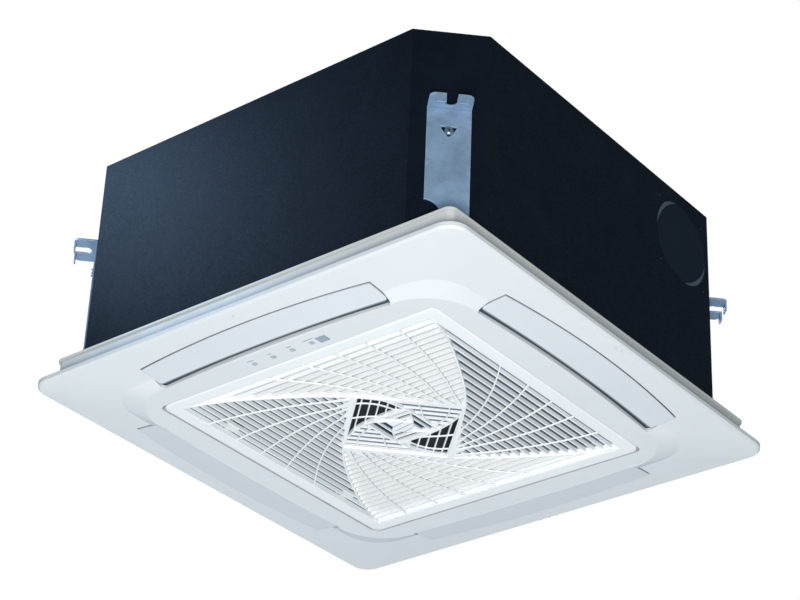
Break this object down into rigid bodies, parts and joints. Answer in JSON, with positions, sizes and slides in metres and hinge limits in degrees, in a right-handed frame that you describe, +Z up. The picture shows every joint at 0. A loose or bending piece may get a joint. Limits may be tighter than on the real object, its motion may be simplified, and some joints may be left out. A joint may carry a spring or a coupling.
{
  "type": "ceiling cassette air conditioner",
  "caption": "Square ceiling cassette air conditioner with a white panel, swirl intake grille, swinging outlet flaps and a dark sheet-metal casing with corner hangers.",
  "frame": {"origin": "centre of the intake grille at its lowest face", "axes": "+Z up through the casing towards the slab, -Y towards the side with the indicator lamps, +X towards the side with the round duct knockout"},
  "size_m": [0.62, 0.62, 0.31],
  "materials": {
    "panel": "satin white moulding",
    "panel_back": "satin white moulding",
    "duct": "matte white moulding",
    "flap": "satin white moulding",
    "motor_case": "plated can",
    "grille": "satin white moulding",
    "latch": "satin white moulding",
    "filter_frame": "matte white moulding",
    "filter_net": "black woven mesh",
    "circuit_board": "green board",
    "lamp": "smoky translucent lens",
    "receiver": "smoky translucent window",
    "screw": "zinc plated",
    "casing": "dark navy powder coat, fine texture",
    "insulation": "grey foam",
    "drain_foam": "white bead foam",
    "bell_mouth": "black moulding",
    "fan": "black moulding",
    "steel": "turned steel",
    "motor_steel": "dark painted can",
    "rubber": "black rubber",
    "fins": "thin aluminium fins",
    "galvanised": "galvanised sheet",
    "copper": "copper tube",
    "brass": "turned brass",
    "pump": "white moulding",
    "pvc": "white rigid tube",
    "terminal": "cream moulding",
    "bracket": "galvanised sheet, bluish"
  },
  "bodies": {
    "cabinet": {"panel_frame": "panel", "panel_collar": "panel_back", "panel_back_frame": "panel_back", "outlet_duct_right": "duct", "outlet_duct_back": "duct", "outlet_duct_left": "duct", "outlet_duct_front": "duct", "flap_motor_right": "motor_case", "flap_motor_back": "motor_case", "flap_motor_left": "motor_case", "flap_motor_front": "motor_case", "grille_hinge_hooks": "panel", "display_board": "circuit_board", "lamp_lenses": "lamp", "receiver_window": "receiver", "panel_screws": "screw", "casing_shell": "casing", "casing_top": "casing", "casing_liner": "insulation", "drain_pan": "drain_foam", "bell_mouth": "bell_mouth", "fan_motor": "motor_steel", "motor_mounts": "rubber", "coil_fins": "fins", "coil_end_plate_left": "galvanised", "coil_end_plate_back": "galvanised", "gas_pipe": "copper", "liquid_pipe": "copper", "gas_union": "brass", "liquid_union": "brass", "piping_cover": "galvanised", "drain_pump": "pump", "drain_outlet": "pvc", "float_switch": "pump", "control_box": "galvanised", "control_cover": "galvanised", "control_board": "circuit_board", "terminal_block": "terminal", "cable_grommet": "rubber", "air_sensor": "pump", "hanger_bracket_near": "bracket", "hanger_bracket_right": "bracket", "hanger_bracket_far": "bracket", "hanger_bracket_left": "bracket", "bracket_screws": "screw"},
    "fan": {"fan_wheel": "fan", "fan_shaft": "steel", "fan_nut": "steel"},
    "flap_right": {"flap_right": "flap"},
    "flap_back": {"flap_back": "flap"},
    "flap_left": {"flap_left": "flap"},
    "flap_front": {"flap_front": "flap"},
    "grille": {"grille_frame": "grille", "grille_louvre": "grille", "grille_ribs": "grille"},
    "filter": {"filter_frame": "filter_frame", "filter_net": "filter_net"},
    "latch_near": {"grille_latch_near": "latch"},
    "latch_far": {"grille_latch_far": "latch"}
  },
  "joints": [
    {"name": "fan_spin", "type": "hinge", "parent": "cabinet", "child": "fan", "pos_m": [0, 0, 0.18], "axis": [0, 0, 1], "continuous": true},
    {"name": "flap_right_swing", "type": "hinge", "parent": "cabinet", "child": "flap_right", "pos_m": [0.248, 0, 0.0155], "axis": [0, 1, 0], "range_deg": [0, 45]},
    {"name": "flap_back_swing", "type": "hinge", "parent": "cabinet", "child": "flap_back", "pos_m": [0, 0.248, 0.0155], "axis": [-1, 0, 0], "range_deg": [0, 45]},
    {"name": "flap_left_swing", "type": "hinge", "parent": "cabinet", "child": "flap_left", "pos_m": [-0.248, 0, 0.0155], "axis": [0, -1, 0], "range_deg": [0, 45]},
    {"name": "flap_front_swing", "type": "hinge", "parent": "cabinet", "child": "flap_front", "pos_m": [0, -0.248, 0.0155], "axis": [1, 0, 0], "range_deg": [0, 45]},
    {"name": "grille_hinge", "type": "hinge", "parent": "cabinet", "child": "grille", "pos_m": [0.1925, 0, 0.0048], "axis": [0, -1, 0], "range_deg": [0, 90]},
    {"name": "filter_lift", "type": "slide", "parent": "grille", "child": "filter", "axis": [0, 0, 1], "range_m": [0, 0.015]},
    {"name": "latch_near_slide", "type": "slide", "parent": "grille", "child": "latch_near", "axis": [1, 0, 0], "range_m": [0, 0.004]},
    {"name": "latch_far_slide", "type": "slide", "parent": "grille", "child": "latch_far", "axis": [1, 0, 0], "range_m": [0, 0.004]}
  ]
}
